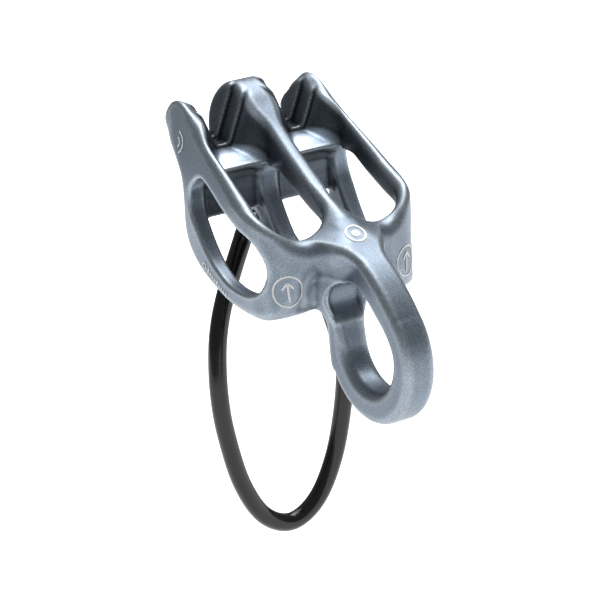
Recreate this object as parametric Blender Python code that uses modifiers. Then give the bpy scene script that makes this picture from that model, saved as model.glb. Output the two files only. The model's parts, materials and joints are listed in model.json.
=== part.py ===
"""Guide-mode belay device: a forged body with two rope slots, an anchor ring and a wire keeper loop.

X runs across the slots, Y runs from the anchor ring to the horns, and Z is up.
The origin is the middle of the anchor ring's eye. Lengths are in metres.
The outlines below are drawn before the whole object takes its HANG_TURN about X.
"""

from math import cos, pi, radians, sin, tan

import bmesh
import bpy
from mathutils import Matrix, Vector

MM = 0.001

# Walls and slots
SLOT_PITCH = 19.8 * MM  # middle of the centre wall to the middle of an outer wall
CENTRE_WALL = 4.6 * MM
OUTER_WALL = 5.0 * MM
DRAFT_BELOW = 5.5  # degrees that an outer face leans in below the parting height
DRAFT_ABOVE = 11.0
PARTING_HEIGHT = 26.0 * MM
SLOT_FRONT_Y = 14.6 * MM
SLOT_FRONT_DEPTH = 7.5 * MM  # depth of the rounded front end of a slot
SAG_BOTTOM_Z = 23.6 * MM  # lowest point of the bridge in front of a slot
SAG_HEIGHT = 9.0 * MM
SADDLE_BOTTOM_Z = 22.4 * MM

# Anchor ring
EYE_RADIUS = 9.8 * MM
RING_CENTRE = (-0.3 * MM, -0.5 * MM)  # Y and Z of the outer edge's circle
RING_RADIUS = 15.7 * MM
RING_THICKNESS = 8.0 * MM
FORGING_ALLOWANCE = 0.15 * MM  # trimmed off each flat side of the ring
BACK_LOBE = (8.5 * MM, 8.4 * MM, 4.9 * MM)  # Y, Z and radius of the lobe behind the eye
TOP_LOBE = (4.0 * MM, 6.8 * MM, 6.9 * MM)

# Horns and the toothed grooves between them
CENTRE_HORN_RISE = 1.4 * MM
GROOVE_FLOOR_Z = 36.9 * MM  # where the teeth begin
GROOVE_FLOOR_HALF = 2.1 * MM
GROOVE_ANGLE = 22.5  # degrees that a groove's side leans from upright
GROOVE_DROP = 3.6 * MM  # fall of the saddle from the teeth to its front edge
SADDLE_FRONT_Y = 37.4 * MM
TEETH_FRONT_Y = 45.3 * MM
TOOTH_COUNT = 2
TOOTH_LENGTH = 4.3 * MM
TOOTH_RISE = 0.9 * MM
TOOTH_INSET = 0.7 * MM
TOOTH_MARGIN = 1.2 * MM  # how far the teeth stay inside the horn's outline

# Keeper loop
SHEATH_DIAMETER = 4.2 * MM
CORE_DIAMETER = 2.4 * MM
CORE_CLEARANCE = 0.3 * MM  # around the core, in the sheath and in the ferrule
LOOP_HOLE = (46.6 * MM, 17.4 * MM)  # Y and Z of the hole through the centre wall's lug
LOOP_HOLE_RADIUS = 2.45 * MM
HOLE_FLARE = 40.0  # degrees that the hole's mouths open
HOLE_WAIST = 1.3 * MM  # half the length of the hole's straight middle
LUG_RADIUS = 5.0 * MM
FERRULE_LENGTH = 2.8 * MM
FERRULE_CLEARANCE = 0.35 * MM  # around the ferrule, in the hole's straight middle
SHEATH_START = 2.1 * MM  # from the middle of the hole to an end of the sheath
CORE_END_GAP = 0.3 * MM
HANG_TURN = 5.8  # degrees that the object turns about X to bring the loop plumb below its hole

# Fineness of the forged skin
BODY_VOXEL = 0.65 * MM
SMOOTH_STEPS = 14
BODY_TRIANGLES = 8300

ALUMINIUM = ((0.30, 0.35, 0.41), 0.42, 1.0)
STEEL = ((0.55, 0.55, 0.56), 0.3, 1.0)
PLASTIC = ((0.015, 0.015, 0.017), 0.35, 0.0)

# Crest of the rails in the YZ plane, from the back of a horn to the neck, in millimetres
CREST = [
    (55.8, 43.2), (54.9, 46.2), (52.4, 48.3), (49.0, 48.6), (45.6, 47.0), (42.0, 44.4), (37.6, 41.4),
    (32.6, 38.4), (28.0, 35.7), (23.6, 33.0), (19.2, 30.6), (15.0, 28.6), (11.2, 26.6), (7.4, 24.3),
]  # fmt: skip

# The rest of an outer wall's edge, from the front face down, under the slots and up the back
HEEL = [
    (7.9, 21.0), (8.8, 14.6), (10.2, 9.4), (13.4, 6.8), (19.0, 6.2), (27.2, 6.4), (33.8, 8.3),
    (40.0, 11.2), (44.6, 15.0), (46.7, 20.4), (46.9, 27.2), (48.5, 32.0), (52.0, 35.2), (55.0, 38.9),
]  # fmt: skip

# Top of the neck, down to the ring, and the outside of the ring below it
NECK = [
    (15.2, 28.3), (11.4, 26.7), (7.4, 24.6), (3.4, 22.2), (-0.8, 19.9), (-5.0, 17.0), (-9.3, 13.0),
    (0.0, 0.0), (13.0, -9.0), (16.2, -2.6), (17.0, 4.0), (16.5, 12.0), (18.0, 20.0),
]  # fmt: skip

WINDOW = [
    (38.2, 33.6), (41.6, 30.4), (41.4, 26.0), (39.4, 22.2), (36.8, 18.3), (33.6, 14.9), (29.2, 12.2),
    (24.4, 11.2), (19.4, 11.5), (15.9, 13.2), (14.4, 17.0), (15.0, 21.0), (17.4, 24.4), (22.4, 26.6),
    (28.8, 29.6), (34.0, 32.4),
]  # fmt: skip

# Half of the body seen from above, from the back to the neck, and the outer face's X that its points stand by
PLAN_HALF_WIDTH = 22.3
PLAN = [
    (16.0, 57.0), (18.9, 53.4), (20.6, 49.0), (21.6, 44.0), (22.0, 38.0), (22.3, 30.0), (21.8, 22.0), (20.0, 16.0),
    (16.8, 12.2), (12.6, 9.9), (8.2, 8.6), (5.6, 7.0), (3.0, 6.6),
]  # fmt: skip

# Middle of the right half of the loop as X, Y and Z, from the hole's mouth to the bottom of the loop
STRAND = [
    (3.3, 46.6, 17.0), (4.7, 46.6, 15.3), (5.8, 46.6, 12.9), (8.4, 46.1, 8.0), (12.0, 45.1, 1.1),
    (14.6, 43.9, -5.1), (16.2, 42.7, -11.6), (17.1, 41.3, -20.0), (16.2, 40.9, -29.5),
    (12.9, 40.9, -42.6), (7.4, 40.9, -52.4), (0.0, 40.9, -56.2),
]  # fmt: skip


def clear_scene():
    for obj in list(bpy.data.objects):
        bpy.data.objects.remove(obj, do_unlink=True)


def new_collection(name):
    made = bpy.data.collections.new(name)
    bpy.context.scene.collection.children.link(made)
    return made


def new_material(name, look):
    colour, roughness, metallic = look
    made = bpy.data.materials.new(name)
    made.use_nodes = True
    shader = made.node_tree.nodes["Principled BSDF"]
    shader.inputs["Base Color"].default_value = (*colour, 1)
    shader.inputs["Roughness"].default_value = roughness
    shader.inputs["Metallic"].default_value = metallic
    return made


clear_scene()
PARTS = new_collection("guide_mode_belay_device")
CUTTERS = new_collection("cutters")
CUTTERS.hide_render = True

# Each turn takes a flat outline's own X and Y to the two axes named, and its thickness to the third
ACROSS = Matrix(((0, 0, 1, 0), (1, 0, 0, 0), (0, 1, 0, 0), (0, 0, 0, 1)))  # Y and Z, thick along X
UPWARD = Matrix.Identity(4)  # X and Y, thick along Z
ALONG = Matrix(((1, 0, 0, 0), (0, 0, -1, 0), (0, 1, 0, 0), (0, 0, 0, 1)))  # X and Z, thick along Y


def in_metres(points):
    return [(a * MM, b * MM) for a, b in points]


def mirrored(points):
    """A half outline with X above 0, followed by its mirror image in reverse."""
    return points + [(-x, y) for x, y in reversed(points)]


def slot_width():
    return SLOT_PITCH - (CENTRE_WALL + OUTER_WALL) / 2


def slot_middle(side):
    return side * (CENTRE_WALL + slot_width()) / 2


def new_object(name, mesh, group):
    obj = bpy.data.objects.new(name, mesh)
    group.objects.link(obj)
    if group is CUTTERS:
        obj.hide_render = True
        obj.display_type = "WIRE"
    return obj


def mesh_of(obj):
    """The object's shape as the viewport shows it, in world space, as a new mesh."""
    bpy.context.view_layer.update()
    graph = bpy.context.evaluated_depsgraph_get()
    mesh = bpy.data.meshes.new_from_object(obj.evaluated_get(graph), depsgraph=graph)
    mesh.transform(obj.matrix_world)
    return mesh


def applied(obj):
    """Applies the object's modifiers."""
    mesh = mesh_of(obj)
    obj.modifiers.clear()
    obj.matrix_world = Matrix.Identity(4)
    obj.data = mesh
    return obj


def meshed(curve_object, name):
    """The curve object's shape as a welded mesh object; the curve is removed."""
    mesh = mesh_of(curve_object)
    work = bmesh.new()
    work.from_mesh(mesh)
    bmesh.ops.remove_doubles(work, verts=work.verts, dist=1e-6)
    bmesh.ops.recalc_face_normals(work, faces=work.faces)
    work.to_mesh(mesh)
    work.free()
    curve = curve_object.data
    bpy.data.objects.remove(curve_object)
    bpy.data.curves.remove(curve)
    return new_object(name, mesh, CUTTERS)


def plate(name, outline, thickness, turn, middle=0.0, smooth=True):
    """A flat outline in metres, closed and filled, with its thickness centred on middle."""
    curve = bpy.data.curves.new(name, "CURVE")
    curve.dimensions = "2D"
    curve.fill_mode = "BOTH"
    curve.extrude = thickness / 2
    curve.resolution_u = 6
    if smooth:
        spline = curve.splines.new("BEZIER")
        spline.bezier_points.add(len(outline) - 1)
        for point, (a, b) in zip(spline.bezier_points, outline):
            point.co = (a, b, 0)
            point.handle_left_type = point.handle_right_type = "AUTO"
    else:
        spline = curve.splines.new("POLY")
        spline.points.add(len(outline) - 1)
        for point, (a, b) in zip(spline.points, outline):
            point.co = (a, b, 0, 1)
    spline.use_cyclic_u = True
    flat = new_object(name, curve, CUTTERS)
    flat.matrix_world = turn @ Matrix.Translation((0, 0, middle))
    return meshed(flat, name)


def tube(name, points, radius, sides):
    """A round wire along a line of points, with flat ends."""
    curve = bpy.data.curves.new(name, "CURVE")
    curve.dimensions = "3D"
    curve.bevel_depth = radius
    curve.bevel_resolution = sides // 2 - 2
    curve.use_fill_caps = True
    curve.twist_mode = "MINIMUM"
    spline = curve.splines.new("POLY")
    spline.points.add(len(points) - 1)
    for point, place in zip(spline.points, points):
        point.co = (*place, 1)
    return meshed(new_object(name, curve, CUTTERS), name)


def solid_from(name, work):
    """Turns a bmesh into a cutter object and frees it."""
    bmesh.ops.recalc_face_normals(work, faces=work.faces)
    mesh = bpy.data.meshes.new(name)
    work.to_mesh(mesh)
    work.free()
    return new_object(name, mesh, CUTTERS)


def cylinder(name, start, end, radius, segments=64):
    line = end - start
    turn = Matrix.Translation((start + end) / 2) @ line.to_track_quat("Z", "Y").to_matrix().to_4x4()
    work = bmesh.new()
    bmesh.ops.create_cone(
        work, cap_ends=True, segments=segments, radius1=radius, radius2=radius, depth=line.length, matrix=turn
    )
    return solid_from(name, work)


def disc(name, centre, radius, thickness):
    """A round plate standing across the X axis; centre is (Y, Z)."""
    return cylinder(name, Vector((-thickness / 2, *centre)), Vector((thickness / 2, *centre)), radius)


def box(name, low, high):
    work = bmesh.new()
    size = [b - a for a, b in zip(low, high)]
    middle = [(a + b) / 2 for a, b in zip(low, high)]
    bmesh.ops.create_cube(work, size=1, matrix=Matrix.Translation(middle) @ Matrix.Diagonal((*size, 1)))
    return solid_from(name, work)


def skin(name, rings):
    """A closed skin over rings of equally many points."""
    work = bmesh.new()
    rows = [[work.verts.new(place) for place in ring] for ring in rings]
    count = len(rows[0])
    for near, far in zip(rows, rows[1:]):
        for i in range(count):
            j = (i + 1) % count
            work.faces.new((near[i], near[j], far[j], far[i]))
    work.faces.new(reversed(rows[0]))
    work.faces.new(rows[-1])
    return solid_from(name, work)


def combine(obj, other, operation):
    modifier = obj.modifiers.new(other.name, "BOOLEAN")
    modifier.operation = operation
    modifier.object = other
    modifier.solver = "EXACT"
    return obj


def joined(name, pieces):
    """All the pieces in one mesh, still overlapping: the voxel skin that follows makes them one body."""
    work = bmesh.new()
    for piece in pieces:
        work.from_mesh(piece.data)
    mesh = bpy.data.meshes.new(name)
    work.to_mesh(mesh)
    work.free()
    return new_object(name, mesh, CUTTERS)


def finished(obj, name, material, angle=40):
    """Turns the object as it hangs, puts it among the parts and shades its round faces smooth."""
    obj.name = name
    obj.data.name = name
    obj.data.transform(Matrix.Rotation(radians(HANG_TURN), 4, "X"))
    CUTTERS.objects.unlink(obj)
    PARTS.objects.link(obj)
    obj.hide_render = False
    obj.display_type = "TEXTURED"
    obj.data.materials.clear()
    obj.data.materials.append(material)
    obj.data.shade_smooth()
    obj.data.set_sharp_from_angle(angle=radians(angle))
    return obj


def side_solid(name, horn_rise, thickness, lift=0.0):
    """A wall between the rails' crest and the heel, raised by lift; its horn stands horn_rise higher, in mm."""
    crest = [(y, z + horn_rise * min(1, max(0, (y - 30) / 15))) for y, z in CREST]
    outline = [(y, z + lift) for y, z in crest + HEEL]
    return plate(name, in_metres(outline), thickness, ACROSS)


def slot_cutter(side):
    """The open space of one slot: rounded at the front, leaning with the saddle's face at the back."""
    half = slot_width() / 2
    middle = slot_middle(side)
    front = [
        (middle - half * cos(turn), SLOT_FRONT_Y + SLOT_FRONT_DEPTH * (1 - sin(turn)))
        for turn in (pi * i / 24 for i in range(25))
    ]
    back = 80 * MM
    outline = [(middle - half, back)] + front + [(middle + half, back)]
    space = plate(f"slot_{side}", outline, 160 * MM, UPWARD, smooth=False)
    low = SADDLE_BOTTOM_Z / MM
    reach = [(5, -20), (5, 75), (34, 75), (35.2, 42), (37.2, 34), (40.9, low), (75, low), (75, -20)]
    side_view = plate("slot_reach", in_metres(reach), 200 * MM, ACROSS, smooth=False)
    return applied(combine(space, side_view, "INTERSECT"))


def sag_cutter(side):
    """An oval trough along Y that lowers the bridge in front of a slot."""
    half = slot_width() / 2
    middle = slot_middle(side)
    rings = []
    for y in (-20 * MM, 26 * MM):
        turns = (2 * pi * i / 48 for i in range(48))
        rings.append([
            (middle + half * cos(turn), y, SAG_BOTTOM_Z + SAG_HEIGHT * (1 + sin(turn))) for turn in turns
        ])  # fmt: skip
    return skin(f"sag_{side}", rings)


def groove_section(side, y, floor, half, angle):
    """Points of an open trough at one Y, with the corners of its foot cut by short arcs."""
    top = 66 * MM
    reach = half + (top - floor) * tan(radians(angle))
    fillet = 0.45 * half
    right = [
        (reach, top), (half, floor + fillet), (half - 0.3 * fillet, floor + 0.3 * fillet), (half - fillet, floor),
    ]  # fmt: skip
    trough = [(-x, z) for x, z in right] + [(x, z) for x, z in reversed(right)]
    return [(slot_middle(side) + x, y, z) for x, z in trough]


def saddle_cutter(side):
    """The smooth throat: from the slot's full width at the saddle's front edge to the V of the groove."""
    wide = slot_width() / 2
    rings = [groove_section(side, SADDLE_FRONT_Y - 6 * MM, GROOVE_FLOOR_Z - GROOVE_DROP, wide, 0)]
    steps = 10
    for i in range(steps + 1):
        t = i / steps
        ease = t * t * (3 - 2 * t)
        y = SADDLE_FRONT_Y + (TEETH_FRONT_Y - SADDLE_FRONT_Y) * t
        floor = GROOVE_FLOOR_Z - GROOVE_DROP * (1 - sin(pi / 2 * t))
        half = wide + (GROOVE_FLOOR_HALF - wide) * ease
        rings.append(groove_section(side, y, floor, half, GROOVE_ANGLE * ease))
    rings.append(groove_section(side, 66 * MM, GROOVE_FLOOR_Z, GROOVE_FLOOR_HALF, GROOVE_ANGLE))
    return skin(f"saddle_{side}", rings)


def stepped_trough(side):
    """A trough whose sides and floor step inward at each tooth."""
    rings = []
    for i in range(TOOTH_COUNT):
        floor = GROOVE_FLOOR_Z + (i + 1) * TOOTH_RISE
        half = GROOVE_FLOOR_HALF - (i + 1) * TOOTH_INSET
        start = TEETH_FRONT_Y + i * TOOTH_LENGTH
        end = start + TOOTH_LENGTH if i < TOOTH_COUNT - 1 else 66 * MM
        for y in (start - (2 if i == 0 else -0.01) * MM, end):
            rings.append(groove_section(side, y, floor, half, GROOVE_ANGLE))
    return skin(f"stepped_trough_{side}", rings)


def teeth(side):
    """The material that carries one groove's teeth, inside the horns' outline."""
    crest = [(y - 0.4 * TOOTH_MARGIN / MM, z - TOOTH_MARGIN / MM) for y, z in CREST[:4]]
    front = TEETH_FRONT_Y / MM
    outline = crest + [(front, 45.5), (front, 33.5), (50.5, 35.2), (54.2, 39.6)]
    block = plate(f"teeth_{side}", in_metres(outline), slot_width(), ACROSS, slot_middle(side), smooth=False)
    return applied(combine(block, stepped_trough(side), "DIFFERENCE"))


def plan_points(half):
    """The plan's points, those beside the slots moved out or in with the outer walls' faces."""
    outward = half / MM - PLAN_HALF_WIDTH
    return [(x + outward * min(1, max(0, (x - 8.2) / 8)), y) for x, y in PLAN]


def cradle():
    """The walls, the bridge and the saddle block: side view, plan and draft crossed with one another."""
    body = side_solid("forged_blank", 0, 60 * MM)
    half = SLOT_PITCH + OUTER_WALL / 2
    combine(body, plate("plan", in_metres(mirrored(plan_points(half))), 200 * MM, UPWARD), "INTERSECT")
    high = 70 * MM
    low = -20 * MM
    section = [
        (half - (high - PARTING_HEIGHT) * tan(radians(DRAFT_ABOVE)), high),
        (half, PARTING_HEIGHT),
        (half - (PARTING_HEIGHT - low) * tan(radians(DRAFT_BELOW)), low),
    ]
    combine(body, plate("draft", mirrored(section), 200 * MM, ALONG, smooth=False), "INTERSECT")
    applied(body)
    for side in (-1, 1):
        combine(body, slot_cutter(side), "DIFFERENCE")
        combine(body, sag_cutter(side), "DIFFERENCE")
    return applied(body)


def forged_blank():
    """The cradle, centre wall, ring, neck and lug, each with its openings cut, as one overlapping mesh."""
    thickness = RING_THICKNESS + 2 * FORGING_ALLOWANCE
    pieces = [
        cradle(),
        side_solid("centre_wall", CENTRE_HORN_RISE / MM, CENTRE_WALL, lift=0.2),
        disc("ring", RING_CENTRE, RING_RADIUS, thickness),
        plate("neck", in_metres(NECK), thickness, ACROSS, smooth=False),
    ]
    openings = [
        saddle_cutter(-1),
        saddle_cutter(1),
        plate("window", in_metres(WINDOW), 80 * MM, ACROSS),
        disc("eye", (0, 0), EYE_RADIUS, 30 * MM),
        disc("back_lobe", BACK_LOBE[:2], BACK_LOBE[2], thickness + 0.6 * MM),
        disc("top_lobe", TOP_LOBE[:2], TOP_LOBE[2], thickness + 0.6 * MM),
    ]
    for piece in pieces:
        for opening in openings:
            combine(piece, opening, "DIFFERENCE")
            applied(piece)
    return joined("forged_blank", pieces + [disc("lug", LOOP_HOLE, LUG_RADIUS, CENTRE_WALL)])


def soften(obj):
    """Rounds the blank's edges and corners as a forging's are, then thins the mesh."""
    remesh = obj.modifiers.new("skin", "REMESH")
    remesh.mode = "VOXEL"
    remesh.voxel_size = BODY_VOXEL
    blend = obj.modifiers.new("blend", "SMOOTH")
    blend.factor = 0.5
    blend.iterations = SMOOTH_STEPS
    applied(obj)
    count = sum(len(face.vertices) - 2 for face in obj.data.polygons)
    thin = obj.modifiers.new("thin", "DECIMATE")
    thin.ratio = min(1, BODY_TRIANGLES / count)
    return applied(obj)


def hole_cutter():
    """The loop's hole through the lug, with flared mouths."""
    flare = tan(radians(HOLE_FLARE))
    rings = []
    for x in (-4 * MM, -HOLE_WAIST, HOLE_WAIST, 4 * MM):
        radius = LOOP_HOLE_RADIUS + max(0, abs(x) - HOLE_WAIST) * flare
        turns = (2 * pi * i / 40 for i in range(40))
        rings.append([(x, LOOP_HOLE[0] + radius * cos(turn), LOOP_HOLE[1] + radius * sin(turn)) for turn in turns])
    return skin("loop_hole", rings)


def forged_body():
    body = soften(forged_blank())
    for side in (-1, 1):
        combine(body, teeth(side), "UNION")
    combine(body, hole_cutter(), "DIFFERENCE")
    applied(body)
    for side in (-1, 1):
        flat = side * RING_THICKNESS / 2
        low = (min(flat, flat + side * 9 * MM), -22 * MM, -22 * MM)
        high = (max(flat, flat + side * 9 * MM), 2 * MM, 13 * MM)
        combine(body, box(f"ring_face_{side}", low, high), "DIFFERENCE")
    return finished(applied(body), "forged_body", new_material("anodised_aluminium", ALUMINIUM))


def rounded_line(points, steps):
    """A line of points through the given ones, curved by the Catmull-Rom formula."""
    line = []
    padded = [2 * points[0] - points[1]] + points + [2 * points[-1] - points[-2]]
    for a, b, c, d in zip(padded, padded[1:], padded[2:], padded[3:]):
        for i in range(steps):
            t = i / steps
            line.append(
                0.5 * (2 * b + (c - a) * t + (2 * a - 5 * b + 4 * c - d) * t * t + (3 * b - a - 3 * c + d) * t ** 3)
            )
    return line + [points[-1]]


def keeper_loop():
    """The plastic sheath, the wire core inside it and the ferrule that joins the core's ends in the hole."""
    start = Vector((SHEATH_START, *LOOP_HOLE))
    right = [start] + [Vector(place) * MM for place in STRAND]
    left = [Vector((-place.x, place.y, place.z)) for place in reversed(right[:-1])]
    route = rounded_line(right + left, 3)
    aside = Vector((1, 0, 0))
    bore_line = [start - aside * MM] + route + [route[-1] + aside * MM]
    to_end = SHEATH_START - CORE_END_GAP / 2
    core_line = [start - aside * to_end] + route + [route[-1] + aside * to_end]
    bore = CORE_DIAMETER / 2 + CORE_CLEARANCE
    sheath = tube("sheath_blank", route, SHEATH_DIAMETER / 2, 16)
    combine(sheath, tube("sheath_bore", bore_line, bore, 12), "DIFFERENCE")
    finished(applied(sheath), "cable_sheath", new_material("black_plastic", PLASTIC))
    steel = new_material("steel", STEEL)
    finished(tube("core_blank", core_line, CORE_DIAMETER / 2, 12), "cable_core", steel)
    ferrule = disc("ferrule_blank", LOOP_HOLE, LOOP_HOLE_RADIUS - FERRULE_CLEARANCE, FERRULE_LENGTH)
    combine(ferrule, disc("ferrule_bore", LOOP_HOLE, bore, FERRULE_LENGTH + 4 * MM), "DIFFERENCE")
    finished(applied(ferrule), "crimp_ferrule", steel)


forged_body()
keeper_loop()
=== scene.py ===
import json
import math

import bpy
import numpy as np
import openvdb
from mathutils import Matrix, Vector

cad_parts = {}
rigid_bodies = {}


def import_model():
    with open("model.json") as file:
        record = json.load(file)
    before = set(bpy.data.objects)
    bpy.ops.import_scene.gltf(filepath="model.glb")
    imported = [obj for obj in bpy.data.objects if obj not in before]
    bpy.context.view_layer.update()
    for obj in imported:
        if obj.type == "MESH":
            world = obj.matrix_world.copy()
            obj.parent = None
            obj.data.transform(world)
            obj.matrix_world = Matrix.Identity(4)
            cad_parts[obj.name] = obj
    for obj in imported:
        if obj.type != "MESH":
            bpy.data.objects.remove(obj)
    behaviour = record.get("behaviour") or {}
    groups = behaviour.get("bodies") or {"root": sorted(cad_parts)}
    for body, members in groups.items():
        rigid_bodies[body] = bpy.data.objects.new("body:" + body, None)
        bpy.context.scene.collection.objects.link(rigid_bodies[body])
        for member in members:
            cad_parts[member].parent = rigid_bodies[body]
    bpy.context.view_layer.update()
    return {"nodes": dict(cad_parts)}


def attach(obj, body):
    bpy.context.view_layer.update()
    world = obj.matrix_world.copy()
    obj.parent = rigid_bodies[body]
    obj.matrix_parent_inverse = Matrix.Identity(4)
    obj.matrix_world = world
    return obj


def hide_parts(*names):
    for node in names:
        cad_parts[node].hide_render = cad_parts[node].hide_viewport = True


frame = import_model()
print("frame loaded:", ", ".join(sorted(frame["nodes"])))

# Shapes are worked out in millimetres with the ring's eye at the origin, X across the slots, Y towards the
# horns and Z up, and are then turned about X so that the loop hangs plumb. Angles are in degrees.
placing = {"hangTurn": 5.8, "metresPerUnit": 0.001}


def placed(points):
    # Turns the points about X by the hang angle and brings them to metres.
    turn = math.radians(placing["hangTurn"])
    x, y, z = np.asarray(points, dtype=float).T
    turnedY = y * math.cos(turn) - z * math.sin(turn)
    turnedZ = y * math.sin(turn) + z * math.cos(turn)
    return np.stack([x, turnedY, turnedZ], 1) * placing["metresPerUnit"]


def newPiece(name, points, faces, material, body):
    # One mesh from arrays of points and of quads or triangles, riding on a body of the frame.
    mesh = bpy.data.meshes.new(name)
    mesh.from_pydata(placed(points).tolist(), [], np.asarray(faces).tolist())
    mesh.polygons.foreach_set("use_smooth", np.full(len(mesh.polygons), True))
    mesh.materials.append(material)
    mesh.update()
    piece = bpy.data.objects.new(name, mesh)
    bpy.context.scene.collection.objects.link(piece)
    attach(piece, body)
    return piece


def gridFaces(rows, columns, closed=False):
    # Quads between neighbours of a rows by columns grid; a closed grid joins its last column to its first.
    row = np.arange(rows - 1)[:, None]
    column = np.arange(columns if closed else columns - 1)[None, :]
    after = (column + 1) % columns
    here, above = row * columns, (row + 1) * columns
    corners = [here + column, here + after, above + after, above + column]
    return np.stack(np.broadcast_arrays(*corners), -1).reshape(-1, 4)


view = {
    "lens": 165.6,
    "sensor": 36.0,
    "nearClip": 0.01,
    "place": (-308.478, -467.505, 216.061),
    "back": (-0.49387, -0.79920, 0.34259),
    "right": (0.83962, -0.54076, -0.05112),
}


def addCamera():
    camera = bpy.data.cameras.new("camera")
    camera.lens = view["lens"]
    camera.sensor_width = view["sensor"]
    camera.clip_start = view["nearClip"]
    back = Vector(view["back"]).normalized()
    right = Vector(view["right"]).normalized()
    up = back.cross(right)
    turn = Matrix((right, up, back)).transposed().to_4x4()
    holder = bpy.data.objects.new("camera", camera)
    bpy.context.scene.collection.objects.link(holder)
    place = Matrix.Translation(Vector(view["place"]) * placing["metresPerUnit"])
    holder.matrix_world = Matrix.Rotation(math.radians(placing["hangTurn"]), 4, "X") @ place @ turn
    bpy.context.scene.camera = holder


# metres and watts
studio = {
    "floorHeight": -0.084,
    "floorSize": 6.0,
    "floorColour": (0.86, 0.86, 0.86),
    "floorGlow": 1.0,
    "worldLight": 0.34,
    "sky": {"from": (0.36, 0.02, 1.0), "strength": 1.55, "spread": 34.0},
    "softbox": {"place": (0.18, 0.17, 0.57), "size": 0.60, "power": 2.5, "colour": (1.0, 1.0, 0.99)},
    "aim": (0.0, 0.022, 0.016),  # the middle of the body
}


def addLamp(name, kind, power):
    light = bpy.data.lights.new(name, kind)
    light.energy = power
    lamp = bpy.data.objects.new(name, light)
    bpy.context.scene.collection.objects.link(lamp)
    return light, lamp


def addLights():
    soft = studio["softbox"]
    light, lamp = addLamp("topSoftbox", "AREA", soft["power"])
    light.shape = "DISK"
    light.size = soft["size"]
    light.color = soft["colour"]
    lamp.location = soft["place"]
    heading = Vector(studio["aim"]) - Vector(soft["place"])
    lamp.rotation_euler = heading.to_track_quat("-Z", "Y").to_euler()
    sky = studio["sky"]
    light, lamp = addLamp("skylight", "SUN", sky["strength"])
    light.angle = math.radians(sky["spread"])
    lamp.rotation_euler = Vector(sky["from"]).to_track_quat("Z", "Y").to_euler()
    world = bpy.data.worlds.new("studioAir")
    world.use_nodes = True
    air = world.node_tree.nodes["Background"]
    air.inputs["Color"].default_value = (1, 1, 1, 1)
    air.inputs["Strength"].default_value = studio["worldLight"]
    bpy.context.scene.world = world


def palePaper():
    # Plain diffuse paper that also glows, but only for the camera and in mirror-like reflections, so that the
    # glow adds no diffuse light.
    paint = bpy.data.materials.new("palePaper")
    paint.use_nodes = True
    nodes, link = paint.node_tree.nodes, paint.node_tree.links.new
    nodes.clear()
    diffuse = nodes.new("ShaderNodeBsdfDiffuse")
    diffuse.inputs["Color"].default_value = (*studio["floorColour"], 1)
    path = nodes.new("ShaderNodeLightPath")
    seen = nodes.new("ShaderNodeMath")
    seen.operation = "MAXIMUM"
    link(path.outputs["Is Camera Ray"], seen.inputs[0])
    link(path.outputs["Is Glossy Ray"], seen.inputs[1])
    strength = nodes.new("ShaderNodeMath")
    strength.operation = "MULTIPLY"
    strength.inputs[1].default_value = studio["floorGlow"]
    link(seen.outputs[0], strength.inputs[0])
    glow = nodes.new("ShaderNodeEmission")
    link(strength.outputs[0], glow.inputs["Strength"])
    both = nodes.new("ShaderNodeAddShader")
    link(diffuse.outputs[0], both.inputs[0])
    link(glow.outputs[0], both.inputs[1])
    out = nodes.new("ShaderNodeOutputMaterial")
    link(both.outputs[0], out.inputs["Surface"])
    return paint


def addFloor():
    half, height = studio["floorSize"] / 2, studio["floorHeight"]
    corners = [(-half, -half, height), (half, -half, height), (half, half, height), (-half, half, height)]
    mesh = bpy.data.meshes.new("studioFloor")
    mesh.from_pydata(corners, [], [(0, 1, 2, 3)])
    mesh.materials.append(palePaper())
    floor = bpy.data.objects.new("studioFloor", mesh)
    bpy.context.scene.collection.objects.link(floor)


bpy.context.scene.view_settings.view_transform = "Standard"
addCamera()
addLights()
addFloor()
print("camera and studio placed")


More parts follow.
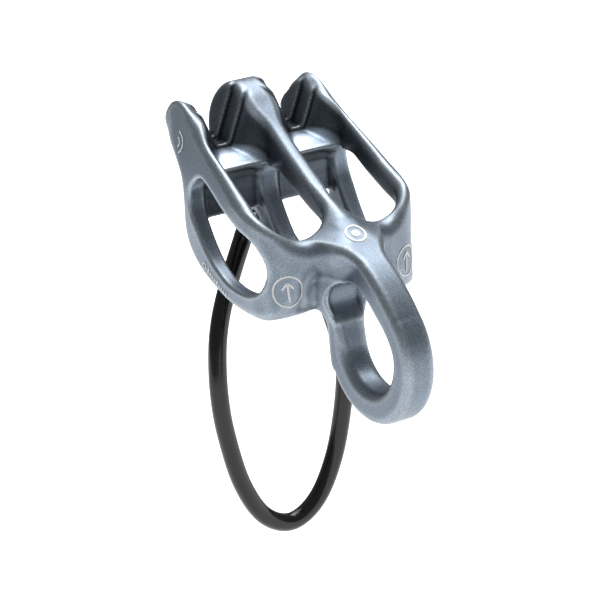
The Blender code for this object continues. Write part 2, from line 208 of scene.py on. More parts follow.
class Finish:
    # A material with its Principled shader, and short ways to add nodes and join them to it. A noise is given
    # as scale, detail and roughness; a stretch as the ends that come in and the ends that they become; a bump
    # as its strength and its depth in metres.
    def __init__(self, name):
        self.material = bpy.data.materials.new(name)
        self.material.use_nodes = True
        self.nodes = self.material.node_tree.nodes
        self.link = self.material.node_tree.links.new
        self.shader = self.nodes["Principled BSDF"]
        self.where = self.nodes.new("ShaderNodeTexCoord").outputs["Object"]

    def noise(self, where, look):
        node = self.nodes.new("ShaderNodeTexNoise")
        for name, value in zip(("Scale", "Detail", "Roughness"), look):
            node.inputs[name].default_value = value
        self.link(where, node.inputs["Vector"])
        return node.outputs["Fac"]

    def stretch(self, value, look):
        node = self.nodes.new("ShaderNodeMapRange")
        for name, end in zip(("From Min", "From Max", "To Min", "To Max"), look):
            node.inputs[name].default_value = end
        self.link(value, node.inputs["Value"])
        return node.outputs[0]

    def mapped(self, where, socket, value):
        node = self.nodes.new("ShaderNodeMapping")
        node.inputs[socket].default_value = value
        self.link(where, node.inputs["Vector"])
        return node.outputs[0]

    def maths(self, operation, first, second):
        node = self.nodes.new("ShaderNodeMath")
        node.operation = operation
        for socket, value in zip(node.inputs, (first, second)):
            if isinstance(value, float):
                socket.default_value = value
            else:
                self.link(value, socket)
        return node.outputs[0]

    def attribute(self, name):
        node = self.nodes.new("ShaderNodeAttribute")
        node.attribute_name = name
        return node.outputs["Fac"]

    def tint(self, colour, share):
        # The base colour is the colour times the share.
        node = self.nodes.new("ShaderNodeVectorMath")
        node.operation = "SCALE"
        if isinstance(colour, tuple):
            node.inputs[0].default_value = colour
        else:
            self.link(colour, node.inputs[0])
        self.link(share, node.inputs["Scale"])
        self.link(node.outputs[0], self.shader.inputs["Base Color"])

    def bump(self, height, look):
        node = self.nodes.new("ShaderNodeBump")
        for name, value in zip(("Strength", "Distance"), look):
            node.inputs[name].default_value = value
        self.link(height, node.inputs["Height"])
        self.link(node.outputs[0], self.shader.inputs["Normal"])


anodising = {
    "colour": (0.143, 0.174, 0.214),
    # paler colour of worn edges and of the painted highlight on them
    "wearAndHighlightColour": (0.34, 0.385, 0.425),
    "metallic": 0.9,
    "grain": (3600.0, 3.0, 0.75),
    "grainShade": (0.32, 0.68, 0.62, 1.45),
    "grainRoughness": (0.3, 0.7, 0.37, 0.48),
    "grainBump": (0.2, 0.00006),
    "mottle": (160.0, 4.0, 0.6),
    "mottleShade": (0.3, 0.7, 0.93, 1.07),
}


def anodisedMetal(name, look):
    # Blasted and dyed aluminium: a fine light and dark grain, a slow mottling, paler edges that are partly
    # worn metal and partly a painted highlight, painted shade in the inner corners and inside the slots and
    # grooves, and painted light on the throats' upward faces. The colour is the blend of the two colours by
    # the wear and painted highlight, times grain, times mottling, times what the painted shade and light
    # leave.
    finish = Finish(name)
    grain = finish.noise(finish.where, look["grain"])
    mottle = finish.noise(finish.where, look["mottle"])
    light = finish.stretch(grain, look["grainShade"])
    shade = finish.maths("MULTIPLY", light, finish.stretch(mottle, look["mottleShade"]))
    # painted shade in corners and slots, and painted light on the throats
    keep = finish.maths("SUBTRACT", 1.0, finish.attribute("paintedShadeAndLight"))
    # the pale colour stands for worn edges and a painted highlight
    base = finish.nodes.new("ShaderNodeMix")
    base.data_type = "RGBA"
    base.inputs["A"].default_value = (*look["colour"], 1)
    base.inputs["B"].default_value = (*look["wearAndHighlightColour"], 1)
    finish.link(finish.attribute("edgeWearAndHighlight"), base.inputs["Factor"])
    finish.tint(base.outputs["Result"], finish.maths("MULTIPLY", shade, keep))
    finish.link(finish.stretch(grain, look["grainRoughness"]), finish.shader.inputs["Roughness"])
    finish.bump(grain, look["grainBump"])
    finish.shader.inputs["Metallic"].default_value = look["metallic"]
    return finish.material


sheathing = {
    "colour": (0.004, 0.004, 0.004),
    "specularLevel": 0.36,
    "dieLineStretch": (90.0, 0.8, 1.0),  # round the wire and along it
    "dieLine": (1.0, 2.0, 0.5),
    "dieLineBump": (0.12, 0.00005),
    "scuff": (900.0, 5.0, 0.7),
    "scuffRoughness": (0.35, 0.75, 0.09, 0.25),
    "scuffShade": (0.3, 0.7, 0.85, 1.25),
}


def blackSheathPlastic(name, look):
    # Smooth extruded plastic: faint die lines from a noise stretched along the wire, and soft scuffs that
    # lighten it and dull its gloss.
    finish = Finish(name)
    alongWire = finish.nodes.new("ShaderNodeUVMap")
    alongWire.uv_map = "alongWire"
    scuffs = finish.noise(finish.where, look["scuff"])
    finish.link(finish.stretch(scuffs, look["scuffRoughness"]), finish.shader.inputs["Roughness"])
    lines = finish.mapped(alongWire.outputs[0], "Scale", look["dieLineStretch"])
    finish.bump(finish.noise(lines, look["dieLine"]), look["dieLineBump"])
    finish.tint(look["colour"], finish.stretch(scuffs, look["scuffShade"]))
    finish.shader.inputs["Specular IOR Level"].default_value = look["specularLevel"]
    return finish.material


steelWire = {
    "colour": (0.50, 0.51, 0.52),
    "roughness": 0.28,
    "strandTurn": (0.5, 0.0, 0.6),
    "strandScale": 900.0,
    "marks": (2600.0, 3.0, 0.5),
    "shade": (0.1, 0.8, 0.45, 1.1),
    "bump": (0.4, 0.0001),
}


def brightSteel(name, look, strands):
    # Plain steel darkened by a fine noise; the wire core has slanting waves instead, dark where its strands
    # meet.
    finish = Finish(name)
    if strands:
        waves = finish.nodes.new("ShaderNodeTexWave")
        waves.inputs["Scale"].default_value = look["strandScale"]
        finish.link(finish.mapped(finish.where, "Rotation", look["strandTurn"]), waves.inputs["Vector"])
        height = waves.outputs["Fac"]
    else:
        height = finish.noise(finish.where, look["marks"])
    finish.tint(look["colour"], finish.stretch(height, look["shade"]))
    finish.bump(height, look["bump"])
    finish.shader.inputs["Metallic"].default_value = 1.0
    finish.shader.inputs["Roughness"].default_value = look["roughness"]
    return finish.material


marking = {
    "colour": (0.97, 0.98, 0.98),
    "roughness": 0.55,
    "grain": (4200.0, 3.0, 0.5),
    "shade": (0.3, 0.7, 0.82, 1.05),
}


def markingInk(name, look):
    # Off-white laser marking, a little uneven so that the metal's grain shows in it.
    finish = Finish(name)
    finish.tint(look["colour"], finish.stretch(finish.noise(finish.where, look["grain"]), look["shade"]))
    finish.shader.inputs["Roughness"].default_value = look["roughness"]
    return finish.material


bodyMetal = anodisedMetal("satinAnodising", anodising)
sheathPlastic = blackSheathPlastic("blackSheath", sheathing)
wireSteel = brightSteel("strandedWire", steelWire, True)
ferruleSteel = brightSteel("pressedSteel", steelWire, False)
markInk = markingInk("whiteMarking", marking)
print("finishes made")

keeper = {
    "sheathRadius": 2.2,
    "boreRadius": 1.5,
    "hole": (46.6, 17.4),
    "sheathStart": 2.1,
    "sides": 40,
    "stepsPerSpan": 10,
    "lipSteps": 6,
    "lipBulge": 0.25,
    # middle of the right half of the loop, from the hole's mouth to the bottom
    "strand": [
        (3.3, 46.6, 17.0), (4.7, 46.6, 15.3), (5.8, 46.6, 12.9), (8.4, 46.1, 8.0), (12.0, 45.1, 1.1),
        (14.6, 43.9, -5.1), (16.2, 42.7, -11.6), (17.1, 41.3, -20.0), (16.2, 40.9, -29.5),
        (12.9, 40.9, -42.6), (7.4, 40.9, -52.4), (0.0, 40.9, -56.2),
    ],
}


def curvedLine(points, steps, closed=False):
    # Catmull-Rom curve: each span is a cubic that leaves and meets its ends along the line between their
    # neighbours.
    points = np.asarray(points, dtype=float)
    if closed:
        before, start, end, after = (np.roll(points, k, axis=0) for k in (1, 0, -1, -2))
    else:
        padded = np.vstack([2 * points[0] - points[1], points, 2 * points[-1] - points[-2]])
        before, start, end, after = padded[:-3], padded[1:-2], padded[2:-1], padded[3:]
    t = (np.arange(steps) / steps)[None, :, None]
    before, start, end, after = (p[:, None, :] for p in (before, start, end, after))
    line = 0.5 * (
        2 * start + (end - before) * t + (2 * before - 5 * start + 4 * end - after) * t**2
        + (3 * start - before - 3 * end + after) * t**3
    )
    line = line.reshape(-1, points.shape[1])
    return line if closed else np.vstack([line, points[-1]])


def sweptTube(route, radii, sides):
    # A circle carried along the route: its sideways direction is the one before it, made square to the new
    # heading.
    heading = np.gradient(route, axis=0)
    heading /= np.linalg.norm(heading, axis=1, keepdims=True)
    side = np.zeros_like(route)
    side[0] = np.cross(heading[0], (0, 1, 0))
    for i in range(1, len(route)):
        side[i] = side[i - 1] - heading[i] * side[i - 1].dot(heading[i])
        side[i] /= np.linalg.norm(side[i])
    other = np.cross(heading, side)
    angle = np.linspace(0, 2 * np.pi, sides, endpoint=False)
    ring = np.cos(angle)[None, :, None] * side[:, None] + np.sin(angle)[None, :, None] * other[:, None]
    return (route[:, None] + ring * np.asarray(radii)[:, None, None]).reshape(-1, 3)


def keeperRoute():
    # The right half from the hole to the bottom of the loop, then its mirror image back to the hole.
    right = np.array([(keeper["sheathStart"], *keeper["hole"])] + keeper["strand"])
    left = right[-2::-1] * (-1, 1, 1)
    return curvedLine(np.vstack([right, left]), keeper["stepsPerSpan"])


def buildSheath():
    # The outer skin, a rounded lip at each end and the bore inside: circles along the route and back.
    route = keeperRoute()
    outer, bore, sides = keeper["sheathRadius"], keeper["boreRadius"], keeper["sides"]
    middle, thick = (outer + bore) / 2, (outer - bore) / 2
    turn = np.linspace(0, np.pi, keeper["lipSteps"] + 1)[1:-1]

    def lip(end, rim, before, way):
        # Rings on a half oval between the two walls; way is 1 from the outer wall to the bore, else -1.
        heading = (end - before) / np.linalg.norm(end - before)
        reach = middle + way * thick * np.cos(turn)
        bulge = keeper["lipBulge"] * np.sin(turn)
        return end + (rim - end)[None] / outer * reach[:, None, None] + heading * bulge[:, None, None]

    skin = sweptTube(route, np.full(len(route), outer), sides).reshape(len(route), sides, 3)
    inner = (route[:, None] + (skin - route[:, None]) * (bore / outer))[::-1]
    endLip = lip(route[-1], skin[-1], route[-2], 1)
    startLip = lip(route[0], skin[0], route[1], -1)
    rings = np.concatenate([skin, endLip, inner, startLip])
    points = rings.reshape(-1, 3)
    faces = gridFaces(len(rings) + 1, sides, closed=True) % len(points)  # the last ring meets the first
    piece = newPiece("keeper_sheath", points, faces, sheathPlastic, "keeper")
    # u runs half way round the wire and back, v along it in wire diameters
    length = np.concatenate([[0], np.cumsum(np.linalg.norm(np.diff(route, axis=0), axis=1))])
    onLip = np.ones(len(turn))
    along = np.concatenate([length, length[-1] * onLip, length[::-1], 0 * onLip]) / (2 * outer)
    corner = np.zeros(len(piece.data.loops), dtype=int)
    piece.data.loops.foreach_get("vertex_index", corner)
    u = (corner % sides) / sides
    u = np.where(u > 0.5, 1 - u, u)
    layer = piece.data.uv_layers.new(name="alongWire")
    layer.data.foreach_set("uv", np.stack([u, along[corner // sides]], 1).ravel())
    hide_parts("cable_sheath")


def dressNode(node, material):
    # A solid of the frame that keeps its shape and gets a finish.
    for slot in frame["nodes"][node].material_slots:
        slot.material = material


buildSheath()
dressNode("cable_core", wireSteel)
dressNode("crimp_ferrule", ferruleSteel)
print("keeper loop made")

# A pair named ...Ramp is where a change starts and the span it takes; a span below 0 runs downwards.
forging = {
    "voxel": 0.4,
    "low": (-23.2, -17.6, -17.6),
    "high": (23.2, 58.0, 52.4),
    "outsideValue": 3.0,  # the field's value beyond the grid
    "curveSteps": {"side": 6, "plan": 5, "neck": 5, "window": 6},
    # walls and their draft
    "slotPitch": 19.8,
    "centreWall": 4.6,
    "outerWall": 5.0,
    "draftBelow": 5.5,
    "draftAbove": 11.0,
    "partingHeight": 26.0,
    "partingSoftness": 1.2,
    "draftCosine": 0.985,
    # slots and the dips in front of them
    "slotFront": 14.6,
    "slotCorner": 3.6,
    "blockHollow": 1.6,
    "edgeHollow": 5.5,  # radius of the same curve at the saddle's front edge
    "edgeRamp": (31.4, 1.6),
    "dip": (32.6, 9.0),  # middle height and half height
    "dipBehind": (13.0, 11.0),  # where it starts to close, and how far behind that it ends
    # horns and grooves
    "centreHornRise": 1.4,
    "hornRiseRamp": (30.0, 15.0),
    "centreRamp": (9.0, -5.0),
    "hornRamp": (42.0, 5.0),
    "tipRamp": (41.0, 3.0),
    "outerHornRamp": (10.0, 3.0),
    "hornLean": 0.5,
    "leanFrom": 17.8,
    "leanMost": 4.5,
    "grooveFloor": 36.9,
    "grooveHalf": 2.1,
    "grooveAngle": 22.5,
    "grooveEnd": 80.0,  # anywhere behind the horns
    "throatDrop": 3.6,
    "throatFront": 37.4,
    "throatFoot": 0.4,  # foot radius, as a part of the half width
    "teethFront": 45.3,
    "toothLength": 4.3,
    "toothRise": 0.9,
    "toothInset": 0.7,
    "toothFoot": 0.5,  # foot radius
    # ring, eye and the joint to the walls; a disc is its middle in y and z, and its radius
    "eyeRadius": 9.4,
    "ring": (-0.25, -0.9, 15.8),
    "ringThickness": 8.0,
    "backLobe": (8.5, 8.4, 4.9),
    "topLobe": (4.0, 6.8, 6.9),
    "lobeFlat": 3.6,  # half the thickness that the lobes cross before they taper
    "lobeTaper": 1.1,
    "lobeRamp": (2.0, 4.0),
    "cuspRound": 3.6,
    "tuck": 6.0,  # how far the front stands back beside the ring
    "tuckRamp": (20.0, -9.0),
    "tuckAcrossRamp": (14.5, -10.0),
    "jointLow": 10.0,
    "jointSlope": 0.25,
    "jointTurn": 11.0,
    "jointBack": 15.0,
    # lug and the loop's hole
    "lug": (46.6, 17.4, 5.0),
    "lugBlend": 1.4,
    "lugHole": 2.45,
    "holeFlare": 40.0,
    "flareCosine": 0.8,
    "holeWaist": 1.3,
    "holeHalf": 4.0,
    # radii of the softened edges and inner corners
    "railRound": 1.9,
    "railLoss": 0.7,  # taken off it at the horns
    "hornRound": 0.6,
    "hornEdgeRamp": (36.0, 8.0),
    "outerEdgeRamp": (6.0, 4.0),
    "centreEdgeShare": 0.35,
    "dipRound": 3.4,
    "windowRound": 0.8,
    "ringRound": 1.8,
    "eyeRound": 2.6,
    "lobeRound": 1.7,
    "jointRound": 2.4,
    "lugRound": 0.9,
    "neckBlend": 7.0,
    "footBlend": 2.5,
    "blendRamp": (9.0, 12.0),
    "footFillet": 6.5,
    "filletRamp": (20.0, -6.0),
    "filletLeast": 0.001,
    # outlines: side view in y and z, plan in x and y
    "crest": [
        (55.8, 43.2), (54.9, 46.2), (52.4, 48.3), (49.0, 48.6), (45.6, 47.0), (42.0, 44.4), (37.6, 41.4),
        (32.6, 38.4), (28.0, 35.7), (23.6, 33.0), (19.2, 30.6), (15.0, 28.6), (11.6, 26.7), (8.6, 24.6),
    ],
    "heel": [
        (7.9, 21.0), (8.8, 14.6), (10.2, 9.2), (13.4, 6.6), (19.0, 6.0), (27.2, 6.4), (33.6, 8.4),
        (39.4, 11.4), (43.2, 15.4), (44.8, 20.4), (44.8, 27.0), (46.3, 32.2), (49.6, 36.0), (53.6, 39.4),
    ],
    "neck": [
        (12.0, 26.4), (7.4, 24.3), (3.4, 21.9), (-0.8, 19.6), (-4.9, 16.7), (-9.0, 13.0), (-12.2, 9.2),
        (-14.4, 4.8), (-8.0, 1.0), (0.0, -3.0), (12.4, -9.4), (16.6, -3.2), (18.0, 3.4), (17.4, 12.0),
        (17.0, 18.0), (16.0, 23.0),
    ],
    "window": [
        (38.2, 33.6), (41.6, 30.4), (41.4, 26.0), (39.4, 22.2), (36.8, 18.3), (33.6, 14.9), (29.2, 12.2),
        (24.4, 11.2), (19.4, 11.5), (15.9, 13.2), (14.4, 17.0), (15.0, 21.0), (17.4, 24.4), (22.4, 26.6),
        (28.8, 29.6), (34.0, 32.4),
    ],
    "plan": [
        (16.0, 57.0), (19.2, 53.6), (21.2, 49.2), (22.6, 44.0), (23.3, 38.0), (23.6, 30.0), (22.9, 22.0),
        (20.6, 15.9), (17.0, 12.0), (12.6, 9.9), (8.2, 8.6), (5.6, 7.0), (3.0, 6.6),
    ],
    "blockFace": [
        (5, -20), (5, 75), (34, 75), (35.2, 42), (36.8, 36.0), (38.0, 33.7), (41.2, 32.2), (42.8, 29.8),
        (43.1, 27.0), (42.7, 22.4), (75, 22.4), (75, -20),
    ],
}


def outlineDistance(points, u, v):
    # Distance to the nearest edge of a closed outline, taken as negative inside, which is where a ray to the
    # right crosses it an odd number of times.
    start = np.asarray(points, dtype=np.float32)
    edge = np.roll(start, -1, axis=0) - start
    u = u[:, None, None].astype(np.float32)
    v = v[None, :, None].astype(np.float32)
    du, dv = u - start[:, 0], v - start[:, 1]
    share = np.clip((du * edge[:, 0] + dv * edge[:, 1]) / (edge**2).sum(1), 0, 1)
    distance = np.hypot(du - share * edge[:, 0], dv - share * edge[:, 1]).min(-1)
    rise = np.where(np.abs(edge[:, 1]) < 1e-9, 1e-9, edge[:, 1])  # a level edge would divide by 0
    crossing = ((dv >= 0) != (dv >= edge[:, 1])) & (du < dv / rise * edge[:, 0])
    return np.where(crossing.sum(-1) % 2 == 1, -distance, distance)


def roundMax(a, b, radius):
    # Keeps what is inside both shapes; their meeting edge becomes a quarter circle of the radius.
    corner = np.hypot(np.maximum(a + radius, 0), np.maximum(b + radius, 0))
    return np.minimum(-radius, np.maximum(a, b)) + corner


def roundMin(a, b, radius):
    # Joins two shapes; their meeting corner is filled with a quarter circle of the radius.
    return -roundMax(-a, -b, radius)


def ramp(value, pair, least=0):
    # The share of the span that lies behind the value, never below least or above 1.
    start, span = pair
    return np.clip((value - start) / span, least, 1)


def eased(share):
    # Leaves 0 and meets 1 gently: three squares less two cubes.
    return share * share * (3 - 2 * share)


class Block:
    # The grid's axes, the same axes shaped so that they combine over the whole grid (across counts from the
    # middle plane), and the outlines and discs drawn on it.
    def __init__(self, low, high, voxel):
        self.low = np.array(low, dtype=float)
        self.voxel = voxel
        counts = np.ceil((np.array(high) - self.low) / voxel).astype(int) + 1
        self.x, self.y, self.z = (self.low[k] + voxel * np.arange(counts[k]) for k in range(3))
        self.across = np.abs(self.x)[:, None, None]
        self.along = self.y[None, :, None]
        self.height = self.z[None, None, :]

    def acrossX(self, points):
        return outlineDistance(points, self.y, self.z)[None]

    def acrossZ(self, points):
        return outlineDistance(points, self.x, self.y)[:, :, None]

    def disc(self, y, z, radius):
        return (np.hypot(self.y[:, None] - y, self.z[None, :] - z) - radius)[None]


def slotField(block, f, middle, width):
    # A slot with two round front corners: the distance past them to the sides and to the front, less their
    # radius. The saddle block's leaning face ends it in a hollow curve, wider at the saddle's edge.
    sideways = np.abs(block.across - middle) - (width / 2 - f["slotCorner"])
    ahead = f["slotFront"] + f["slotCorner"] - block.along
    outside = np.hypot(np.maximum(sideways, 0), np.maximum(ahead, 0))
    beyond = outside + np.minimum(np.maximum(sideways, ahead), 0)
    hollow = f["blockHollow"] + (f["edgeHollow"] - f["blockHollow"]) * ramp(block.height, f["edgeRamp"])
    return roundMax(beyond - f["slotCorner"], block.acrossX(f["blockFace"]), hollow)


def dipField(block, f, middle, width):
    # An oval trough along Y, closing like an egg, that lowers the bridge in front of a slot: the root of the
    # squared shares sideways, upwards and behind, less 1, times its half width.
    reach = width / 2
    sideways = (block.across - middle) / reach
    level, halfHeight = f["dip"]
    rise = (block.height - level) / halfHeight
    start, length = f["dipBehind"]
    behind = np.maximum(block.along - start, 0) / length
    return (np.sqrt(sideways**2 + rise**2 + behind**2) - 1) * reach


def wallsField(block, f, side, plan, draft):
    # The three walls and the bridge: side view, plan and drafted section crossed, each meeting edge rounded.
    # The outer horns' inner faces lean inwards at their tips.
    x, back = block.across, ramp(block.along, f["hornRamp"])
    tip = back * ramp(block.height, f["tipRamp"]) * ramp(x, f["outerHornRamp"])
    side = side + f["hornLean"] * tip * np.clip(f["leanFrom"] - x, 0, f["leanMost"])
    return roundMax(roundMax(side, plan, f["ringRound"]), draft, f["railRound"] - f["railLoss"] * back)


def outerField(block, f):
    # The forging's outside: the walls joined with the ring and its neck by hollow curves. The crest stands
    # higher at the centre horn, and the plan stands back low beside the ring.
    x, y, z = block.across, block.along, block.height
    steps = f["curveSteps"]
    low = block.acrossX(curvedLine(f["crest"] + f["heel"], steps["side"], closed=True))
    raised = [(v, w + f["centreHornRise"] * ramp(v, f["hornRiseRamp"])) for v, w in f["crest"]]
    high = block.acrossX(curvedLine(raised + f["heel"], steps["side"], closed=True))
    side = low + (high - low) * eased(ramp(x, f["centreRamp"]))
    plan = np.array(f["plan"])
    plan = block.acrossZ(curvedLine(np.vstack([plan, plan[::-1] * (-1, 1)]), steps["plan"], closed=True))
    plan = plan + f["tuck"] * eased(ramp(z, f["tuckRamp"])) * eased(ramp(x, f["tuckAcrossRamp"]))
    above = (z - f["partingHeight"]) * math.tan(math.radians(f["draftAbove"]))
    below = (f["partingHeight"] - z) * math.tan(math.radians(f["draftBelow"]))
    lean = (above + below + np.sqrt((above - below) ** 2 + f["partingSoftness"])) / 2
    draft = (x - (f["slotPitch"] + f["outerWall"] / 2) + lean) * f["draftCosine"]
    walls = wallsField(block, f, side, plan, draft)
    neck = block.acrossX(curvedLine(f["neck"], steps["neck"], closed=True))
    ringSide = np.minimum(block.disc(*f["ring"]), neck)
    strip = x - f["ringThickness"] / 2
    ring = roundMax(ringSide, strip, f["ringRound"])
    blend = f["footBlend"] + (f["neckBlend"] - f["footBlend"]) * ramp(z, f["blendRamp"])
    hollow = roundMin(plan, strip, blend)
    foot = f["jointLow"] + f["jointSlope"] * np.maximum(f["jointTurn"] - y, 0) - z
    joint = roundMax(roundMax(np.minimum(low, ringSide), foot, f["jointRound"]), hollow, f["ringRound"])
    joint = np.maximum(roundMax(joint, draft, f["railRound"]), y - f["jointBack"])
    fillet = f["footFillet"] * ramp(z, f["filletRamp"], f["filletLeast"])
    return np.minimum(roundMin(walls, ring, fillet), joint)


def grooveField(block, f, middle, width):
    # A trough whose floor, half width and lean change along Y: wide and upright at the throat, a V at the
    # teeth, and one step narrower and higher at each tooth.
    aside, y = np.abs(block.across - middle), block.along

    def trough(floor, half, angle, foot):
        rise = block.height - floor
        slope = np.tan(np.radians(angle))
        wall = (aside - half - rise * slope) / np.sqrt(1 + slope**2)
        return roundMax(wall, -rise, foot)

    t = ramp(y, (f["throatFront"], f["teethFront"] - f["throatFront"]))
    floor = f["grooveFloor"] - f["throatDrop"] * (1 - np.sin(np.pi / 2 * t))
    half = width / 2 + (f["grooveHalf"] - width / 2) * eased(t)
    throat = trough(floor, half, f["grooveAngle"] * eased(t), f["throatFoot"] * half)
    cut = np.maximum(throat, y - f["teethFront"])
    for tooth, end in ((1, f["teethFront"] + f["toothLength"]), (2, f["grooveEnd"])):
        floor = f["grooveFloor"] + tooth * f["toothRise"]
        half = f["grooveHalf"] - tooth * f["toothInset"]
        cut = np.minimum(cut, np.maximum(trough(floor, half, f["grooveAngle"], f["toothFoot"]), y - end))
    return cut


def bodyField(block, f):
    # The outside and the lug, less the dips, slots, grooves, windows and eye with their own edge radii, and
    # less the flared hole of the loop.
    width = f["slotPitch"] - (f["centreWall"] + f["outerWall"]) / 2
    middle = (f["centreWall"] + width) / 2
    thick = block.across
    solid = outerField(block, f)
    solid = roundMax(solid, -dipField(block, f, middle, width), f["dipRound"])
    hollows = np.minimum(slotField(block, f, middle, width), grooveField(block, f, middle, width))
    back = ramp(block.along, f["hornEdgeRamp"]) * ramp(thick, f["outerEdgeRamp"], f["centreEdgeShare"])
    solid = roundMax(solid, -hollows, f["railRound"] + (f["hornRound"] - f["railRound"]) * back)
    window = block.acrossX(curvedLine(f["window"], f["curveSteps"]["window"], closed=True))
    solid = roundMax(solid, -window, f["windowRound"])
    y, z, radius = f["lug"]
    lug = roundMax(block.disc(y, z, radius), thick - f["centreWall"] / 2, f["lugRound"])
    solid = roundMin(solid, lug, f["lugBlend"])
    lobes = np.minimum(block.disc(*f["backLobe"]), block.disc(*f["topLobe"]))
    lobes = lobes + f["lobeTaper"] * np.maximum(thick - f["lobeFlat"], 0)
    eye = roundMin(block.disc(0, 0, f["eyeRadius"]), lobes, f["cuspRound"])
    upper = ramp(block.height, f["lobeRamp"])
    solid = roundMax(solid, -eye, f["eyeRound"] + (f["lobeRound"] - f["eyeRound"]) * upper)
    flare = math.tan(math.radians(f["holeFlare"]))
    hole = block.disc(y, z, f["lugHole"]) - np.maximum(thick - f["holeWaist"], 0) * flare
    return np.maximum(solid, -np.maximum(hole * f["flareCosine"], thick - f["holeHalf"])), hollows


def sampled(field, block, points):
    # The field at free points, blended from the eight grid values round each.
    place = (points - block.low) / block.voxel
    cell = np.clip(np.floor(place).astype(int), 0, np.array(field.shape) - 2)
    part = place - cell
    value = 0
    for corner in np.ndindex(2, 2, 2):
        weight = np.prod(np.where(corner, part, 1 - part), axis=1)
        value = value + weight * field[tuple((cell + corner).T)]
    return value


def slopeAt(field, block, points):
    # Half a voxel to each side of the point, along each axis.
    step = block.voxel * 0.5
    parts = [sampled(field, block, points + d) - sampled(field, block, points - d) for d in np.eye(3) * step]
    return np.stack(parts, 1) / (2 * step)


def pullToSurface(field, block, points, leastSquare=0.2):
    # The field's slope, and how many slopes the surface is away: the field over the square of its slope,
    # which counts as leastSquare at least.
    slope = slopeAt(field, block, points)
    square = np.maximum((slope**2).sum(1, keepdims=True), leastSquare)
    return slope, sampled(field, block, points)[:, None] / square


# wear and painted highlight on the body's bulges, painted shade in its hollows and slots and painted light on
# the throats, from its bend and from how deep in the slots and grooves it lies
bodyTone = {
    "pulls": 2,
    "pullMost": 0.15,
    "reach": 0.8,  # how far the neighbours lie whose mean shows the bend
    "wearAndHighlightGain": (0.8, 0.6),  # edge wear and painted highlight for each unit of bend, and the most
    "corner": (0.55, 0.12, 0.7),  # painted shade in hollow corners: for each unit of hollow bend, what is taken off, and the most
    # painted shade inside the slots and grooves, and painted light on the throats' upward faces
    "insideDepth": 0.9,
    "insidePaintedShade": 0.55,
    "throat": (41.5, 4.5),  # middle and half length of the part that gets painted light
    "throatPaintedLight": 1.6,
    "facingRamp": (0.3, 0.4),
    "aboveRamp": (32.0, 0.8),
    "paintedShadeEnds": (-1.4, 0.85),
}


def addTone(piece, name, values):
    layer = piece.data.attributes.new(name, "FLOAT", "POINT")
    layer.data.foreach_set("value", values.astype(np.float32))


def toneBody(piece, field, hollows, block, points, slope):
    # Worn and given a painted highlight where the surface bulges, and painted shade where it is hollow; the
    # slots' and grooves' walls get painted shade too, but for the throats' upward faces, which get painted
    # light.
    tone = bodyTone
    around = 0
    for step in np.eye(3) * tone["reach"]:
        around = around + (sampled(field, block, points + step) + sampled(field, block, points - step))
    bend = (around - 6 * sampled(field, block, points)) / tone["reach"] ** 2
    # edge wear and painted highlight where the surface bulges
    gain, most = tone["wearAndHighlightGain"]
    addTone(piece, "edgeWearAndHighlight", np.clip(bend * gain, 0, most))
    inside = np.clip(1 - np.abs(sampled(hollows, block, points)) / tone["insideDepth"], 0, 1)
    upward = ramp(slope[:, 2], tone["facingRamp"]) * ramp(points[:, 2], tone["aboveRamp"])
    middle, halfLength = tone["throat"]
    throat = np.clip(1 - np.abs(points[:, 1] - middle) / halfLength, 0, 1) * upward
    # painted shade in hollow corners and inside the slots and grooves, less painted light on the throats'
    # upward faces
    gain, loss, most = tone["corner"]
    shade = np.clip(-bend * gain - loss, 0, most)
    shade = shade + tone["insidePaintedShade"] * inside * (1 - throat) - tone["throatPaintedLight"] * inside * throat
    addTone(piece, "paintedShadeAndLight", np.clip(shade, *tone["paintedShadeEnds"]))


def buildBody():
    # The surface where the field is 0, pulled onto it along the field's slope.
    block = Block(forging["low"], forging["high"], forging["voxel"])
    field, hollows = bodyField(block, forging)
    field = field.astype(np.float32)
    grid = openvdb.FloatGrid(forging["outsideValue"])
    grid.copyFromArray(field)
    points, _, faces = grid.convertToPolygons(isovalue=0.0, adaptivity=0.0)
    points = points * block.voxel + block.low
    most = bodyTone["pullMost"]
    for _ in range(bodyTone["pulls"]):
        slope, reach = pullToSurface(field, block, points)
        points = points - np.clip(reach * slope, -most, most)
    piece = newPiece("belay_body", points, faces, bodyMetal, "body")
    toneBody(piece, field, hollows, block, points, slope)
    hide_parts("forged_body")
    print("body:", len(points), "points,", len(faces) * 2, "triangles")
    return field, block


bodyShape, bodyBlock = buildBody()
print("forged body made")

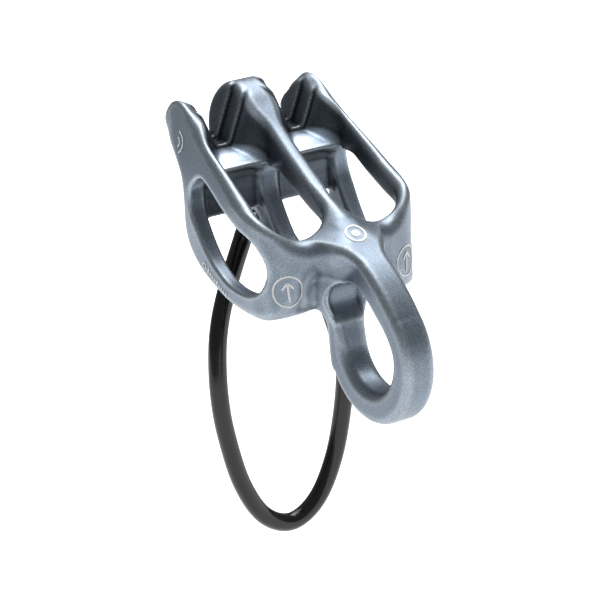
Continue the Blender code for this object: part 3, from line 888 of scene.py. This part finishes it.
markings = {
    "line": 0.5,  # width of a bar
    "lift": 0.09,
    "placePulls": 20,
    "pulls": 8,
    "pullMost": 1.0,
    "ringSteps": 41,
    "thinRing": 0.7,
    "barStep": 0.3,
    # middle on the body, direction of its up, and the name of its strokes
    "places": [
        ((0.0, 7.4, 24.2), (0, 1, 0.55), "target"),
        ((-15.5, 11.2, 13.4), (0, 0.2, 1), "arrow"),
        ((15.5, 11.2, 13.4), (0, 0.2, 1), "arrow"),
        ((-19.8, 48.4, 39.8), (0, 0.1, 1), "arc"),
        ((19.8, 48.4, 39.8), (0, 0.1, 1), "arc"),
        ((-20.8, 33.3, 11.3), (0, -0.54, 0.84), "scale"),
        ((20.8, 33.3, 11.3), (0, -0.54, 0.84), "scale"),
    ],
    # a ring is (u, v, inner radius, outer radius, from, to in turns) and a bar runs from u, v to u, v
    "strokes": {
        "target": [("ring", 0, 0, 1.95, 2.55, 0, 1), ("ring", 0, 0, 0.0, 1.05, 0, 1)],
        "arrow": [
            ("ring", 0, 0, 3.25, 3.68, 0, 1), ("bar", 0, -2.3, 0, 2.0),
            ("bar", -1.35, 0.55, 0, 2.0), ("bar", 1.35, 0.55, 0, 2.0),
        ],
        "arc": [("ring", 0, 0, 2.3, 2.72, -0.2, 0.2), ("ring", 0, 0, 0.9, 1.32, -0.2, 0.2)],
        "scale": [("ring", -4.6, 0, 0.5, 0.86, 0, 1)] + [
            ("bar", -2.9 + 0.95 * i, -tick, -2.9 + 0.95 * i, tick)
            for i, tick in enumerate((0.8, 0.35, 0.35, 0.35, 0.8, 0.35, 0.35, 0.35, 0.8))
        ],
    },
}


def strokeGrid(stroke):
    # A ring is swept by angle between two radii; a bar is swept between its ends and across its line width.
    if stroke[0] == "ring":
        _, u, v, inner, outer, start, end = stroke
        turn = 2 * np.pi * np.linspace(start, end, markings["ringSteps"])[:, None]
        radius = np.linspace(inner, outer, 3 if outer - inner < markings["thinRing"] else 5)[None, :]
        return np.stack([u + radius * np.cos(turn), v + radius * np.sin(turn)], -1)
    start, end = np.array(stroke[1:3], float), np.array(stroke[3:5], float)
    length = np.linalg.norm(end - start)
    heading = (end - start) / length
    across = np.array([-heading[1], heading[0]]) * markings["line"] / 2
    along = start + (end - start) * np.linspace(0, 1, max(3, int(length / markings["barStep"])))[:, None]
    return along[:, None] + across * np.array([-1, 0, 1])[:, None]


def ontoSurface(field, block, points, pulls):
    # The points moved along the field's slope onto the surface, and the outward directions there.
    most = markings["pullMost"]
    for _ in range(pulls):
        slope, reach = pullToSurface(field, block, points)
        points = points - np.clip(reach, -most, most) * slope
    slope = slopeAt(field, block, points)
    return points, slope / np.linalg.norm(slope, axis=1, keepdims=True)


def buildMarkings(field, block):
    # Each stroke's grid is laid in the plane that touches the body there, then drawn onto the surface along
    # its slope and lifted off it a little.
    pointSets, faceSets, count = [], [], 0
    for middle, up, strokes in markings["places"]:
        middle, out = ontoSurface(field, block, np.array([middle], float), markings["placePulls"])
        middle, out = middle[0], out[0]
        up = np.array(up, float) - out * np.dot(up, out)
        up /= np.linalg.norm(up)
        aside = np.cross(up, out)
        for stroke in markings["strokes"][strokes]:
            grid = strokeGrid(stroke)
            flat = middle + grid[..., :1] * aside + grid[..., 1:] * up
            points, outward = ontoSurface(field, block, flat.reshape(-1, 3), markings["pulls"])
            points = points + outward * markings["lift"]
            faces = gridFaces(*grid.shape[:2])
            corner = points[faces]
            facing = np.cross(corner[:, 1] - corner[:, 0], corner[:, 2] - corner[:, 0])
            if np.einsum("ij,ij->i", facing, outward[faces[:, 0]]).sum() < 0:
                faces = faces[:, ::-1]
            pointSets.append(points)
            faceSets.append(faces + count)
            count += len(points)
    piece = newPiece("white_markings", np.vstack(pointSets), np.vstack(faceSets), markInk, "body")


buildMarkings(bodyShape, bodyBlock)
print("markings laid on")
